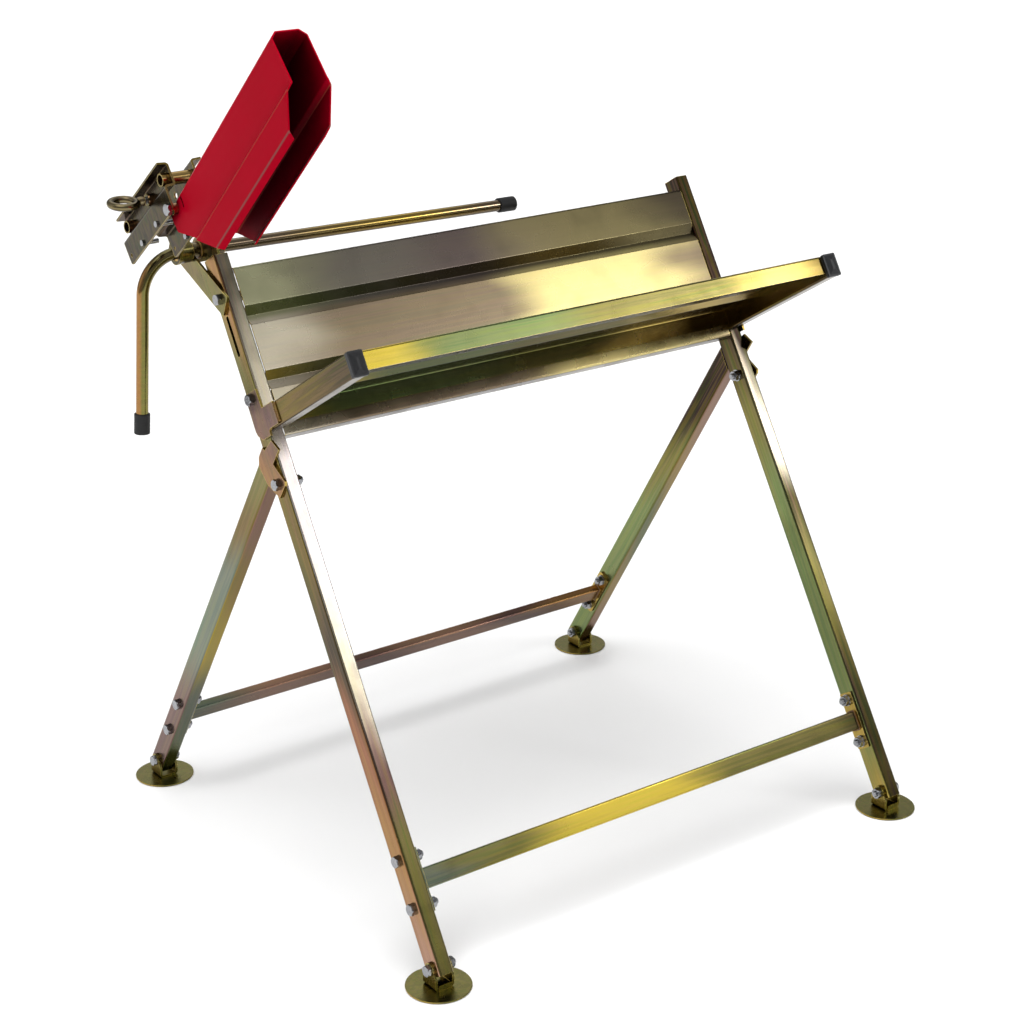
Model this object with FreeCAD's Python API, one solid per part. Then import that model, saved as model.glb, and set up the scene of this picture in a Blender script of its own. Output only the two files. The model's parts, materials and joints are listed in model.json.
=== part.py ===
import FreeCAD, Part
import math
import os

from FreeCAD import Vector

# Folding sawhorse with a V tray, a swinging chainsaw bar clamp and a length stop.
# Millimetres. X runs along the tray, -Y is the front, Z is up and Z = 0 is the floor.
# The whole model is moved at the end so that X = Y = 0 is the middle of its bounding box.

# ---------------------------------------------------------------- driving dimensions
LEG_X = 370.0            # middle plane of the left and right leg tubes
TUBE_X = 20.0            # leg tube, across the sawhorse
TUBE_N = 30.0            # leg tube, in the plane of the leg
TUBE_WALL = 1.5
TUBE_CORNER = 3.0
FACE_IN = LEG_X - TUBE_X / 2
FACE_OUT = LEG_X + TUBE_X / 2
PLATE = 3.0              # lugs, end plates, guide plate, foot brackets

FOOT_SPREAD = 334.8      # foot pivot to the middle, front to rear
FOOT_PIVOT_Z = 25.0
FRONT_TILT = 31.33       # front legs from the vertical, tops towards the rear
REAR_TILT = 31.83        # rear legs from the vertical, tops towards the front
LEG_TOP = 892.7          # length of a front leg above its foot pivot
LEG_END = 10.0           # tube below the foot pivot

REAR_FOLD_S = 600.7      # rear fold bolt, along the front leg
REAR_OFFSET = 33.4       # rear leg axis behind the rear fold bolt
REAR_TOP = 641.0
ARM_FOLD_S = 709.5       # arm fold bolt, along the front leg
ARM_S = 678.5            # middle of the arm tube, along the front leg
ARM_REACH = 236.0        # arm tip from the leg axis
ARM_START = 15.4

CROSSBAR_S = 101.5       # crossbars, along both pairs of legs
CROSSBAR_H = 25.0
CROSSBAR_T = 12.0
CROSSBAR_END = 357.0
END_PLATE_W = 22.0
END_PLATE_L = 78.0
CROSSBAR_BOLTS = 29.0    # each bolt from the crossbar's middle

SHEET = 1.5              # tray panels
PANEL_X = 359.7
PANEL_LOW = 655.0
PANEL_HIGH = 873.0
PANEL_FLANGE = 24.0
PANEL_INNER = -18.0      # inner edge of the front panel, across the front leg
GROOVE_DEPTH = 6.0
GROOVES = [(714.5, 738.5), (797.9, 822.9)]
BEND = 1.2               # inside radius of folds in sheet

BOLT_R = 4.0             # M8
HOLE_R = 4.2
PIVOT_HOLE_R = 4.08
HEX_AF = 13.0
HEAD_H = 5.3
NUT_H = 6.5
WASHER_R = 8.0
WASHER_T = 1.6

DISC_R = 40.0
DISC_T = 2.0
FOOT_GAP = 0.5           # between a leg tube and its foot bracket
FOOT_SHEET = 3.0

BRACE_BOLT_S = 839.7
BRACE_RISE = 23.35       # brace above the horizontal, towards the rear
BRACE_W = 28.5
BRACE_T = 3.2
BRACE_LENGTH = 98.0

STOP_Y = 170.0           # length stop rod
STOP_Z = 764.9 + FOOT_PIVOT_Z
STOP_X = -394.0          # where the rod axis is at STOP_Z
STOP_DROOP = 1.0         # rod axis from the horizontal, right end low
STOP_R = 7.75
STOP_WALL = 1.5
STOP_RIGHT = 112.0
STOP_CORNER_X = -448.6
STOP_BEND_R = 50.0
STOP_LEG = 221.0         # from the rod axis to the foot of its leg
STOP_LEAN = 3.4          # the leg leans outwards
CAP_WALL = 2.2
CAP_LENGTH = 26.0
SLEEVE_R = 10.0
SLEEVE_BORE = 8.05
SLEEVE_X = (-404.0, -339.0)

HOLDER_RISE = 39.0       # clamp plates above the horizontal, towards the front
HOLDER_Y = 152.7         # lower tube of the saw holder
HOLDER_Z = 811.6 + FOOT_PIVOT_Z
OUTER_JAW_X = -481.0
INNER_JAW_X = -423.0
JAW_STEP = 13.0
JAW_SHEET = 2.5
JAW_A = (-11.0, 130.5)   # ends of the clamp plates
JAW_LOW = -45.4
JAW_WEB = 14.3
CLAMP_TUBE_R = 7.7
CLAMP_TUBE_A = 117.0     # upper tube from the lower one
LINK_X = (-405.0, -402.0)
COLLAR_X = (-402.0, -385.5)
COLLAR_R = 14.0
COLLAR_BORE = 10.45
GUARD_BOLT = (123.0, -41.0)
EYE_A = 68.0
EYE_WIRE = 4.6
EYE_RING = 15.4
EYE_CENTRE_X = -506.0
EYE_TURN = 45.0          # turns the ring from square to the clamp plates to nearly level
PAD_X = (-463.0, -459.0)

GUARD_RISE = 44.0
GUARD_X = -451.0
GUARD_SHEET = 1.8
GUARD_BACK = 38.0        # back wall below the lower tube, across the guard
GUARD_SEAT = 22.8        # spacers' ends, just clear of the guard's walls
SLOT_R = 18.5
WIDE_WASHER_X = 19.3     # inner faces of the wide washers inside the guard
WIDE_WASHER_R = 21.0


# ---------------------------------------------------------------- frames and helpers
class Frame:
    """A slanted frame: x is world X, n lies across and s along, both in the YZ plane."""

    def __init__(self, y, z, along_y, along_z):
        size = math.hypot(along_y, along_z)
        self.y, self.z = y, z
        self.s = (along_y / size, along_z / size)
        self.n = (self.s[1], -self.s[0])

    def at(self, s, n):
        y = self.y + s * self.s[0] + n * self.n[0]
        z = self.z + s * self.s[1] + n * self.n[1]
        return y, z

    def find(self, y, z):
        """The (s, n) of a point given in world Y and Z."""
        y, z = y - self.y, z - self.z
        return y * self.s[0] + z * self.s[1], y * self.n[0] + z * self.n[1]

    def place(self, shape):
        matrix = FreeCAD.Matrix(
            1, 0, 0, 0,
            0, self.n[0], self.s[0], self.y,
            0, self.n[1], self.s[1], self.z,
            0, 0, 0, 1)
        placed = shape.copy()
        placed.transformShape(matrix, True)
        return placed


def tilted(y, z, degrees_from_vertical):
    angle = math.radians(degrees_from_vertical)
    return Frame(y, z, math.sin(angle), math.cos(angle))


FRONT = tilted(-FOOT_SPREAD, FOOT_PIVOT_Z, FRONT_TILT)
REAR_FOLD_Y, REAR_FOLD_Z = FRONT.at(REAR_FOLD_S, 0)
ARM_FOLD_Y, ARM_FOLD_Z = FRONT.at(ARM_FOLD_S, 0)


def rear_frame():
    """The rear leg frame passes REAR_OFFSET behind the fold bolt and starts at the foot pivot."""
    angle = math.radians(REAR_TILT)
    along = (-math.sin(angle), math.cos(angle))
    across = (along[1], -along[0])
    y = REAR_FOLD_Y + REAR_OFFSET * across[0]
    z = REAR_FOLD_Z + REAR_OFFSET * across[1]
    length = (z - FOOT_PIVOT_Z) / along[1]
    return Frame(y - length * along[0], FOOT_PIVOT_Z, *along), length


REAR, REAR_BOLT_S = rear_frame()
BRACE_Y, BRACE_Z = FRONT.at(BRACE_BOLT_S, 0)
BRACE = Frame(BRACE_Y, BRACE_Z, math.cos(math.radians(BRACE_RISE)), math.sin(math.radians(BRACE_RISE)))
HOLDER = Frame(HOLDER_Y, HOLDER_Z, -math.cos(math.radians(HOLDER_RISE)), math.sin(math.radians(HOLDER_RISE)))
GUARD = Frame(HOLDER_Y, HOLDER_Z, -math.cos(math.radians(GUARD_RISE)), math.sin(math.radians(GUARD_RISE)))
GUARD_BOLT_Y, GUARD_BOLT_Z = HOLDER.at(*GUARD_BOLT)
GUARD_BOLT_T = GUARD.find(GUARD_BOLT_Y, GUARD_BOLT_Z)[0]
GUARD_BOLT_W = -GUARD.find(GUARD_BOLT_Y, GUARD_BOLT_Z)[1] - GUARD_BACK


def box(x0, x1, n0, n1, s0, s1):
    return Part.makeBox(x1 - x0, n1 - n0, s1 - s0, Vector(x0, n0, s0))


def rod_x(x0, x1, n, s, radius):
    """A round bar along X through (n, s)."""
    return Part.makeCylinder(radius, x1 - x0, Vector(x0, n, s), Vector(1, 0, 0))


def tube_x(x0, x1, n, s, radius, bore):
    return rod_x(x0, x1, n, s, radius).cut(rod_x(x0 - 1, x1 + 1, n, s, bore))


def hex_x(x0, x1, n, s, flats=HEX_AF, turn=30.0):
    """A hexagonal prism along X through (n, s), with its corners chamfered by a cone."""
    corner = flats / math.sqrt(3)
    points = []
    for i in range(7):
        angle = math.radians(60 * i + turn)
        points.append(Vector(x0, n + corner * math.cos(angle), s + corner * math.sin(angle)))
    prism = Part.Face(Part.makePolygon(points)).extrude(Vector(x1 - x0, 0, 0))
    cut = (corner - flats / 2) * 0.9
    length = x1 - x0
    low = Part.makeCone(corner - cut, corner + 0.4 * length, length, Vector(x0, n, s), Vector(1, 0, 0))
    high = Part.makeCone(corner + 0.4 * length, corner - cut, length, Vector(x0, n, s), Vector(1, 0, 0))
    return prism.common(low).common(high)


def prism_x(points, x0, x1):
    """A plate between x0 and x1 with its outline given as (s, n) points."""
    wire = Part.makePolygon([Vector(x0, n, s) for s, n in points + points[:1]])
    return Part.Face(wire).extrude(Vector(x1 - x0, 0, 0))


def rounded(shape, radius, direction):
    """Round every straight edge that runs along a direction."""
    edges = []
    for edge in shape.Edges:
        if isinstance(edge.Curve, Part.Line) and abs(abs(edge.Curve.Direction.dot(direction)) - 1) < 1e-6:
            edges.append(edge)
    return shape.makeFillet(radius, edges)


def rect_tube(width_x, width_n, s0, s1, wall=TUBE_WALL, corner=TUBE_CORNER):
    x, n = width_x / 2, width_n / 2
    outer = rounded(box(-x, x, -n, n, s0, s1), corner, Vector(0, 0, 1))
    inner = box(wall - x, x - wall, wall - n, n - wall, s0 - 1, s1 + 1)
    return outer.cut(rounded(inner, corner - wall, Vector(0, 0, 1)))


def moved(shape, x=0.0, n=0.0, s=0.0):
    copy = shape.copy()
    copy.translate(Vector(x, n, s))
    return copy


def mirrored(shape):
    """The same piece on the right side."""
    return shape.mirror(Vector(0, 0, 0), Vector(1, 0, 0))


def group(shapes):
    solids = []
    for shape in shapes:
        solids += shape.Solids
    return Part.makeCompound(solids)


def one(shape):
    """The single solid of a boolean result."""
    return shape.Solids[0] if len(shape.Solids) == 1 else shape


def bent_profile(points, thickness, bend):
    """A closed face in the XY plane: a sheet along a line of points, with round bends."""
    half = thickness / 2
    middle = bend + half
    runs = []
    for start, end in zip(points, points[1:]):
        length = math.hypot(end[0] - start[0], end[1] - start[1])
        runs.append(((end[0] - start[0]) / length, (end[1] - start[1]) / length))
    left, right = [], []

    def add(a, b, normal_a, normal_b, centre):
        for side, store in ((half, left), (-half, right)):
            p = Vector(a[0] + side * normal_a[0], a[1] + side * normal_a[1], 0)
            q = Vector(b[0] + side * normal_b[0], b[1] + side * normal_b[1], 0)
            if centre is None:
                store.append(Part.LineSegment(p, q).toShape())
                continue
            way = ((a[0] + b[0]) / 2 - centre[0], (a[1] + b[1]) / 2 - centre[1])
            size = math.hypot(*way)
            radius = math.hypot(p.x - centre[0], p.y - centre[1])
            mid = Vector(centre[0] + way[0] / size * radius, centre[1] + way[1] / size * radius, 0)
            store.append(Part.Arc(p, mid, q).toShape())

    at = points[0]
    for i, run in enumerate(runs):
        normal = (-run[1], run[0])
        if i == len(runs) - 1:
            add(at, points[-1], normal, normal, None)
            break
        following = runs[i + 1]
        turn = math.atan2(run[0] * following[1] - run[1] * following[0],
                          run[0] * following[0] + run[1] * following[1])
        back = middle * math.tan(abs(turn) / 2)
        corner = points[i + 1]
        start = (corner[0] - back * run[0], corner[1] - back * run[1])
        end = (corner[0] + back * following[0], corner[1] + back * following[1])
        add(at, start, normal, normal, None)
        sign = 1 if turn > 0 else -1
        centre = (start[0] + sign * middle * normal[0], start[1] + sign * middle * normal[1])
        add(start, end, normal, (-following[1], following[0]), centre)
        at = end
    first = Part.LineSegment(left[0].firstVertex().Point, right[0].firstVertex().Point).toShape()
    last = Part.LineSegment(left[-1].lastVertex().Point, right[-1].lastVertex().Point).toShape()
    wire = Part.Wire(Part.__sortEdges__(left + [last] + right + [first]))
    return Part.Face(wire)


def sheet_along_x(points, thickness, x0, x1, bend=BEND):
    """Bent sheet extruded along X. The points are (n, s)."""
    solid = bent_profile(points, thickness, bend).extrude(Vector(0, 0, x1 - x0))
    solid.rotate(Vector(0, 0, 0), Vector(1, 1, 1), 120)
    solid.translate(Vector(x0, 0, 0))
    return solid


def sheet_along_s(points, thickness, s0, s1, bend=BEND):
    """Bent sheet extruded along s. The points are (x, n)."""
    solid = bent_profile(points, thickness, bend).extrude(Vector(0, 0, s1 - s0))
    solid.translate(Vector(0, 0, s0))
    return solid


# ---------------------------------------------------------------- legs, arms and lugs
def left_front_leg(with_brace_bolt):
    tube = moved(rect_tube(TUBE_X, TUBE_N, -LEG_END, LEG_TOP), x=-LEG_X)
    bolts = [0.0, CROSSBAR_S - CROSSBAR_BOLTS, CROSSBAR_S + CROSSBAR_BOLTS, REAR_FOLD_S, ARM_FOLD_S]
    if with_brace_bolt:
        bolts.append(BRACE_BOLT_S)
        slot = box(-FACE_OUT - 1, -FACE_OUT + 3, -3.3, 3.3, 768, 814)
        slot = slot.fuse(rod_x(-FACE_OUT - 1, -FACE_OUT + 3, 0, 768, 3.3))
        slot = slot.fuse(rod_x(-FACE_OUT - 1, -FACE_OUT + 3, 0, 814, 3.3))
        tube = tube.cut(slot)
    for s in bolts:
        tube = tube.cut(rod_x(-FACE_OUT - 5, -FACE_IN + 5, 0, s, HOLE_R))
    return one(tube)


def left_rear_leg():
    tube = moved(rect_tube(TUBE_X, TUBE_N, -LEG_END, REAR_TOP), x=-LEG_X)
    for s in (0.0, CROSSBAR_S - CROSSBAR_BOLTS, CROSSBAR_S + CROSSBAR_BOLTS):
        tube = tube.cut(rod_x(-FACE_OUT - 5, -FACE_IN + 5, 0, s, HOLE_R))
    outline = [(615.6, -17), (632.8, 17), (REAR_TOP + 1, 17), (REAR_TOP + 1, -17)]
    top = prism_x(outline, -FACE_OUT - 1, -FACE_IN + 1)
    return one(tube.cut(top))


def left_arm():
    """The arm tube lies across the front leg, so its own length runs along -n."""
    tube = rect_tube(TUBE_X, TUBE_N, ARM_START, ARM_REACH)
    tube.rotate(Vector(0, 0, 0), Vector(1, 0, 0), 90)
    return moved(tube, x=-LEG_X, s=ARM_S)


def left_arm_lug():
    outline = [(718.5, 8), (717.7, -18.3), (693.5, -19.5), (693.5, -48), (665.5, -48), (665.5, -25),
               (663.5, -21), (657.6, -21), (657.6, 0), (665.5, 9.8), (672, 12), (712, 11.5)]
    plate = prism_x(outline, -FACE_OUT - PLATE, -FACE_OUT)
    return one(plate.cut(rod_x(-400, -FACE_IN, 0, ARM_FOLD_S, PIVOT_HOLE_R)))


def left_rear_lug():
    outline = [(607, -17), (612, 9), (622.5, 14.8), (639.5, 15), (640.7, 9), (664, 4.5), (666.5, -13.7),
               (640.2, -13.5), (641.9, -44), (637.5, -46.7), (614, -46.2)]
    plate = prism_x(outline, -FACE_OUT - PLATE, -FACE_OUT)
    reach = rod_x(-FACE_OUT - PLATE - 1, -FACE_OUT + 1, -REAR_OFFSET, REAR_BOLT_S, 55.8)
    hole = rod_x(-400, -FACE_IN, -REAR_OFFSET, REAR_BOLT_S, PIVOT_HOLE_R)
    return one(plate.common(reach).cut(hole))


def arm_plug():
    """Square plug in the arm's outer end, with a shallow pyramid on its face."""
    base = rounded(box(-TUBE_X / 2 - 0.6, TUBE_X / 2 + 0.6, -ARM_REACH - 5, -ARM_REACH,
                       -TUBE_N / 2 - 0.6, TUBE_N / 2 + 0.6), 2.2, Vector(0, 1, 0))
    rim = [Vector(x, -ARM_REACH - 4.5, s) for x, s in
           ((-9.5, -14.5), (9.5, -14.5), (9.5, 14.5), (-9.5, 14.5), (-9.5, -14.5))]
    top = [Vector(x, -ARM_REACH - 7.5, s) for x, s in
           ((-2, -7), (2, -7), (2, 7), (-2, 7), (-2, -7))]
    face = Part.makeLoft([Part.makePolygon(rim), Part.makePolygon(top)], True, True)
    stem = box(-8.0, 8.0, -ARM_REACH - 1, -ARM_REACH + 14, -13.0, 13.0)
    return one(moved(base.fuse(face).fuse(stem).removeSplitter(), x=-LEG_X, s=ARM_S))


# ---------------------------------------------------------------- tray panels
def tray_panel():
    """Pressed panel in the front leg frame: its face is flush with the legs' front."""
    face = -TUBE_N / 2 + SHEET / 2
    back = -TUBE_N / 2 + PANEL_FLANGE
    low, high = PANEL_LOW + SHEET / 2, PANEL_HIGH - SHEET / 2
    points = [(back, low), (face, low)]
    for start, end in GROOVES:
        points += [(face, start), (face + GROOVE_DEPTH, (start + end) / 2), (face, end)]
    points += [(face, high), (back, high)]
    return one(sheet_along_x(points, SHEET, -PANEL_X, PANEL_X))


def front_tray_panel():
    """The same pressing laid on the arms, with its grooved face up."""
    panel = tray_panel()
    panel.translate(Vector(0, 0, -PANEL_LOW))
    panel.rotate(Vector(0, 0, 0), Vector(1, 0, 0), -90)
    panel.rotate(Vector(0, 0, 0), Vector(0, 0, 1), 180)
    panel.translate(Vector(0, PANEL_INNER, ARM_S))
    return one(panel)


# ---------------------------------------------------------------- crossbars
def crossbar(s):
    bar = rect_tube(CROSSBAR_H, CROSSBAR_T, -CROSSBAR_END, CROSSBAR_END, 1.2, 2.0)
    bar.rotate(Vector(0, 0, 0), Vector(0, 1, 0), 90)
    return one(moved(bar, s=s))


def left_end_plate(s, clipped):
    plate = box(-FACE_IN, -FACE_IN + PLATE, -END_PLATE_W / 2, END_PLATE_W / 2,
                s - END_PLATE_L / 2, s + END_PLATE_L / 2)
    plate = rounded(plate, 5.5 if clipped else 1.5, Vector(1, 0, 0))
    for offset in (-CROSSBAR_BOLTS, CROSSBAR_BOLTS):
        plate = plate.cut(rod_x(-FACE_OUT, -FACE_IN + 10, 0, s + offset, HOLE_R))
    return one(plate)


def left_bolt(n, s, head_at, shank_to, turn=30.0):
    """An M8 bolt from the left: the head's seat is at head_at and the shank ends at shank_to."""
    shank = rod_x(head_at - 1, shank_to - 1, n, s, BOLT_R)
    tip = Part.makeCone(BOLT_R, BOLT_R - 0.8, 1, Vector(shank_to - 1, n, s), Vector(1, 0, 0))
    return one(hex_x(head_at - HEAD_H, head_at, n, s, turn=turn).fuse(shank).fuse(tip))


def left_nut(n, s, seat, turn=10.0):
    """A washer and an M8 nut on the inner side, starting at seat."""
    washer = tube_x(seat, seat + WASHER_T, n, s, WASHER_R, HOLE_R)
    nut = hex_x(seat + WASHER_T, seat + WASHER_T + NUT_H, n, s, turn=turn)
    return [washer, nut.cut(rod_x(seat, seat + 20, n, s, BOLT_R + 0.05))]


def crossbar_fasteners(s):
    bolts, nuts = [], []
    for i, offset in enumerate((-CROSSBAR_BOLTS, CROSSBAR_BOLTS)):
        seat = -FACE_IN + PLATE
        bolts.append(left_bolt(0, s + offset, -FACE_OUT, seat + 12, 20 + 25 * i))
        nuts += left_nut(0, s + offset, seat)
    return bolts, nuts


# ---------------------------------------------------------------- feet
def foot_bracket(lean):
    """A folded saddle around the end of a leg: two ears, with its base on the disc.

    It is built upright at the foot pivot; lean is only the leg's side of the base lip."""
    half = TUBE_X / 2 + FOOT_GAP + FOOT_SHEET / 2
    base = -FOOT_PIVOT_Z + DISC_T + FOOT_SHEET / 2
    profile = bent_profile([(-half, 9.0), (-half, base), (half, base), (half, 9.0)], FOOT_SHEET, 1.5)
    saddle = profile.extrude(Vector(0, 0, 26))
    saddle.rotate(Vector(0, 0, 0), Vector(1, 0, 0), 90)
    saddle.translate(Vector(0, 13, 0))
    ears = rod_x(-20, 20, 0, 0, 9.0).fuse(box(-20, 20, -13, 13, -FOOT_PIVOT_Z, -8.5))
    slope = prism_x([(-8.6, -13), (0, -9), (0, 9), (-8.6, 13)], -20, 20)
    saddle = saddle.common(ears.fuse(slope))
    saddle = saddle.cut(rod_x(-20, 20, 0, 0, PIVOT_HOLE_R))
    seat = -FOOT_PIVOT_Z + DISC_T
    lip = box(-9.0, 9.0, lean * 13 - 1.25, lean * 13 + 1.25, seat, seat + 7)
    return one(saddle.fuse(lip).removeSplitter())


def foot_disc():
    disc = Part.makeCylinder(DISC_R, DISC_T, Vector(0, 0, -FOOT_PIVOT_Z))
    rim = [edge for edge in disc.Edges if isinstance(edge.Curve, Part.Circle)]
    return one(disc.makeFillet(0.6, rim))


def foot_bolt():
    """The pivot bolt through the ears and the leg, head on the left."""
    ear = TUBE_X / 2 + FOOT_GAP + FOOT_SHEET
    return left_bolt(0, 0, -ear, ear + NUT_H + 3, 20)


def foot_nut():
    ear = TUBE_X / 2 + FOOT_GAP + FOOT_SHEET
    nut = hex_x(ear, ear + NUT_H, 0, 0, turn=10)
    return one(nut.cut(rod_x(ear - 1, ear + 20, 0, 0, BOLT_R + 0.05)))


# ---------------------------------------------------------------- brace, guide plate and stop
def droop(shape):
    """Turn a shape built along X at (STOP_X, STOP_Y, STOP_Z) to the rod's own slope."""
    shape.rotate(Vector(STOP_X, STOP_Y, STOP_Z), Vector(0, 1, 0), STOP_DROOP)
    return shape


def brace():
    """Flat bar from the leg's outer face up to the sleeve, hollowed where it meets the sleeve."""
    x0 = -FACE_OUT - 0.3 - BRACE_T
    bar = box(x0, -FACE_OUT - 0.3, -BRACE_W / 2, BRACE_W / 2, -16.0, BRACE_LENGTH)
    bar = rounded(bar, 2.0, Vector(1, 0, 0))
    bar = bar.cut(rod_x(x0 - 1, -FACE_OUT + 1, 0, 0, HOLE_R))
    return one(BRACE.place(bar).cut(droop(rod_x(-400, -370, STOP_Y, STOP_Z, SLEEVE_R + 0.02))))


def guide_plate():
    """Plate that stands in the open top of the left leg and carries the sleeve."""
    s, n = FRONT.find(STOP_Y, STOP_Z)
    x0, x1 = -LEG_X - PLATE / 2, -LEG_X + PLATE / 2
    outline = [(874, -11), (LEG_TOP + 14, -11), (s + 14, n - 9), (s - 14.5, n + 6), (LEG_TOP + 2, 16),
               (LEG_TOP + 0.2, 11), (874, 11)]
    plate = prism_x(outline, x0, x1).fuse(rod_x(x0, x1, n, s, 16.0)).removeSplitter()
    plate = FRONT.place(plate)
    return one(plate.cut(droop(rod_x(-400, -340, STOP_Y, STOP_Z, SLEEVE_R + 0.06))))


def sleeve():
    body = droop(tube_x(SLEEVE_X[0], SLEEVE_X[1], STOP_Y, STOP_Z, SLEEVE_R, SLEEVE_BORE))
    return one(body)


def stop_rod():
    """Round tube along X, bent down at its left end."""
    lean = math.radians(STOP_LEAN - STOP_DROOP)
    corner = Vector(STOP_CORNER_X, STOP_Y, STOP_Z)
    down = Vector(-math.sin(lean), 0, -math.cos(lean))
    turn = math.acos(Vector(-1, 0, 0).dot(down))
    back = STOP_BEND_R * math.tan(turn / 2)
    start = Vector(STOP_RIGHT, STOP_Y, STOP_Z)
    bend_in = corner + Vector(back, 0, 0)
    bend_out = corner + down * back
    centre = bend_in - Vector(0, 0, STOP_BEND_R)
    middle = (bend_in + bend_out) * 0.5 - centre
    middle.normalize()
    end = corner + down * STOP_LEG
    path = Part.Wire([Part.LineSegment(start, bend_in).toShape(),
                      Part.Arc(bend_in, centre + middle * STOP_BEND_R, bend_out).toShape(),
                      Part.LineSegment(bend_out, end).toShape()])
    skins = []
    for radius in (STOP_R, STOP_R - STOP_WALL):
        circle = Part.Wire(Part.makeCircle(radius, start, Vector(1, 0, 0)))
        skins.append(path.makePipeShell([circle], True, False))
    rod = droop(one(skins[0].cut(skins[1])))
    cap = Part.makeCylinder(STOP_R + CAP_WALL, CAP_LENGTH, end - down * (CAP_LENGTH - 3.0), down)
    rim = [edge for edge in cap.Edges if isinstance(edge.Curve, Part.Circle)]
    cap = cap.makeFillet(1.0, rim)
    cap = cap.cut(Part.makeCylinder(STOP_R + 0.06, CAP_LENGTH, end - down * CAP_LENGTH, down))
    return rod, droop(one(cap))


def stop_end_cap():
    x1 = STOP_RIGHT + 3.0
    cap = rod_x(x1 - CAP_LENGTH, x1, STOP_Y, STOP_Z, STOP_R + CAP_WALL)
    rim = [edge for edge in cap.Edges if isinstance(edge.Curve, Part.Circle)]
    cap = cap.makeFillet(1.0, rim)
    cap = cap.cut(rod_x(x1 - CAP_LENGTH - 1, STOP_RIGHT + 0.1, STOP_Y, STOP_Z, STOP_R + 0.06))
    return droop(one(cap))


# ---------------------------------------------------------------- saw holder
# In the holder frame s runs up the clamp plates from the lower tube and n is their upper side.
def jaw(face_x, step):
    """A hat-section clamp plate: lower plate, step, web and upper lip."""
    web_x = face_x + step
    points = [(face_x, JAW_LOW), (face_x, -JAW_WEB), (web_x, -JAW_WEB + 0.8), (web_x, JAW_WEB),
              (face_x, JAW_WEB + 0.8)]
    plate = sheet_along_s(points, JAW_SHEET, JAW_A[0], JAW_A[1], 2.0)
    x0, x1 = min(face_x, web_x) - 5, max(face_x, web_x) + 5
    outline = rounded(box(x0, x1, JAW_LOW, 30, JAW_A[0], JAW_A[1]), 3.0, Vector(1, 0, 0))
    plate = plate.common(outline)
    for s, n, radius in ((0, 0, CLAMP_TUBE_R + 0.05), (CLAMP_TUBE_A, 0, CLAMP_TUBE_R + 0.05),
                         (GUARD_BOLT[0], GUARD_BOLT[1], HOLE_R), (EYE_A, 0, HOLE_R),
                         (-3.0, -36.0, 2.0)):
        plate = plate.cut(rod_x(x0, x1, n, s, radius))
    for s in (34.0, 82.0):
        plate = plate.cut(rod_x(x0, x1, -38.5, s, 3.1))
    return plate


def clamp_screws():
    """Short M6 screws through the clamp plates' lower faces."""
    screws = []
    for s in (34.0, 82.0):
        seat = OUTER_JAW_X - JAW_SHEET / 2
        screws.append(rod_x(seat - 2.2, seat, -38.5, s, 3.6).fuse(rod_x(seat - 1, seat + 20, -38.5, s, 3.0)))
        seat = INNER_JAW_X - JAW_SHEET / 2
        screws.append(rod_x(seat - 2.2, seat, -38.5, s, 3.6).fuse(rod_x(seat - 1, seat + 12, -38.5, s, 3.0)))
    return [one(screw) for screw in screws]


def pivot_link():
    """Link from the lower tube to the collar that turns on the sleeve."""
    s, n = HOLDER.find(STOP_Y, STOP_Z)
    length = math.hypot(s, n)
    across = (-n / length, s / length)
    outline = [(12 * across[0], 12 * across[1]), (-12 * across[0], -12 * across[1]),
               (s - 15 * across[0], n - 15 * across[1]), (s + 15 * across[0], n + 15 * across[1])]
    x0, x1 = LINK_X
    link = prism_x(outline, x0, x1).fuse(rod_x(x0, x1, 0, 0, 12)).fuse(rod_x(x0, x1, n, s, 15))
    link = link.removeSplitter()
    link = link.cut(rod_x(x0 - 1, x1 + 1, 0, 0, CLAMP_TUBE_R + 0.05))
    link = link.cut(rod_x(x0 - 1, x1 + 1, n, s, COLLAR_BORE))
    collar = tube_x(COLLAR_X[0], COLLAR_X[1], n, s, COLLAR_R, COLLAR_BORE)
    return one(HOLDER.place(link)), one(HOLDER.place(collar))


def guard_hardware():
    """Bolt, nut and spacers that hold the guard between the clamp plates."""
    s, n = GUARD_BOLT
    left = OUTER_JAW_X - JAW_SHEET / 2
    right = INNER_JAW_X + JAW_SHEET / 2
    bolt = left_bolt(n, s, left, right + NUT_H + WASHER_T + 3, 15)
    nut = left_nut(n, s, right)
    spacers = [tube_x(OUTER_JAW_X + JAW_SHEET / 2, GUARD_X - GUARD_SEAT, n, s, 7.0, HOLE_R),
               tube_x(GUARD_X + GUARD_SEAT, INNER_JAW_X - JAW_SHEET / 2, n, s, 7.0, HOLE_R)]
    return one(bolt), nut, spacers


def eye_bolt():
    """Forged ring on an M8 shank along X, its ring nearly level."""
    ring = Part.makeTorus(EYE_RING, EYE_WIRE, Vector(EYE_CENTRE_X, 0, 0), Vector(0, 0, 1))
    ring.rotate(Vector(EYE_CENTRE_X, 0, 0), Vector(1, 0, 0), -EYE_TURN)
    neck_x = EYE_CENTRE_X + EYE_RING + 2
    neck = Part.makeCone(4.4, 6.5, 8, Vector(neck_x, 0, 0), Vector(1, 0, 0))
    shank = rod_x(neck_x + 2, PAD_X[0], 0, 0, BOLT_R)
    return one(moved(ring.fuse(neck).fuse(shank), s=EYE_A))


def eye_nut():
    seat = OUTER_JAW_X + JAW_STEP - JAW_SHEET / 2
    nut = hex_x(seat - NUT_H, seat, 0, EYE_A, turn=20)
    return one(nut.cut(rod_x(seat - 20, seat + 1, 0, EYE_A, BOLT_R + 0.08)))


def pad():
    disc = rod_x(PAD_X[0], PAD_X[1], 0, EYE_A, 9.0)
    return one(disc)


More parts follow.
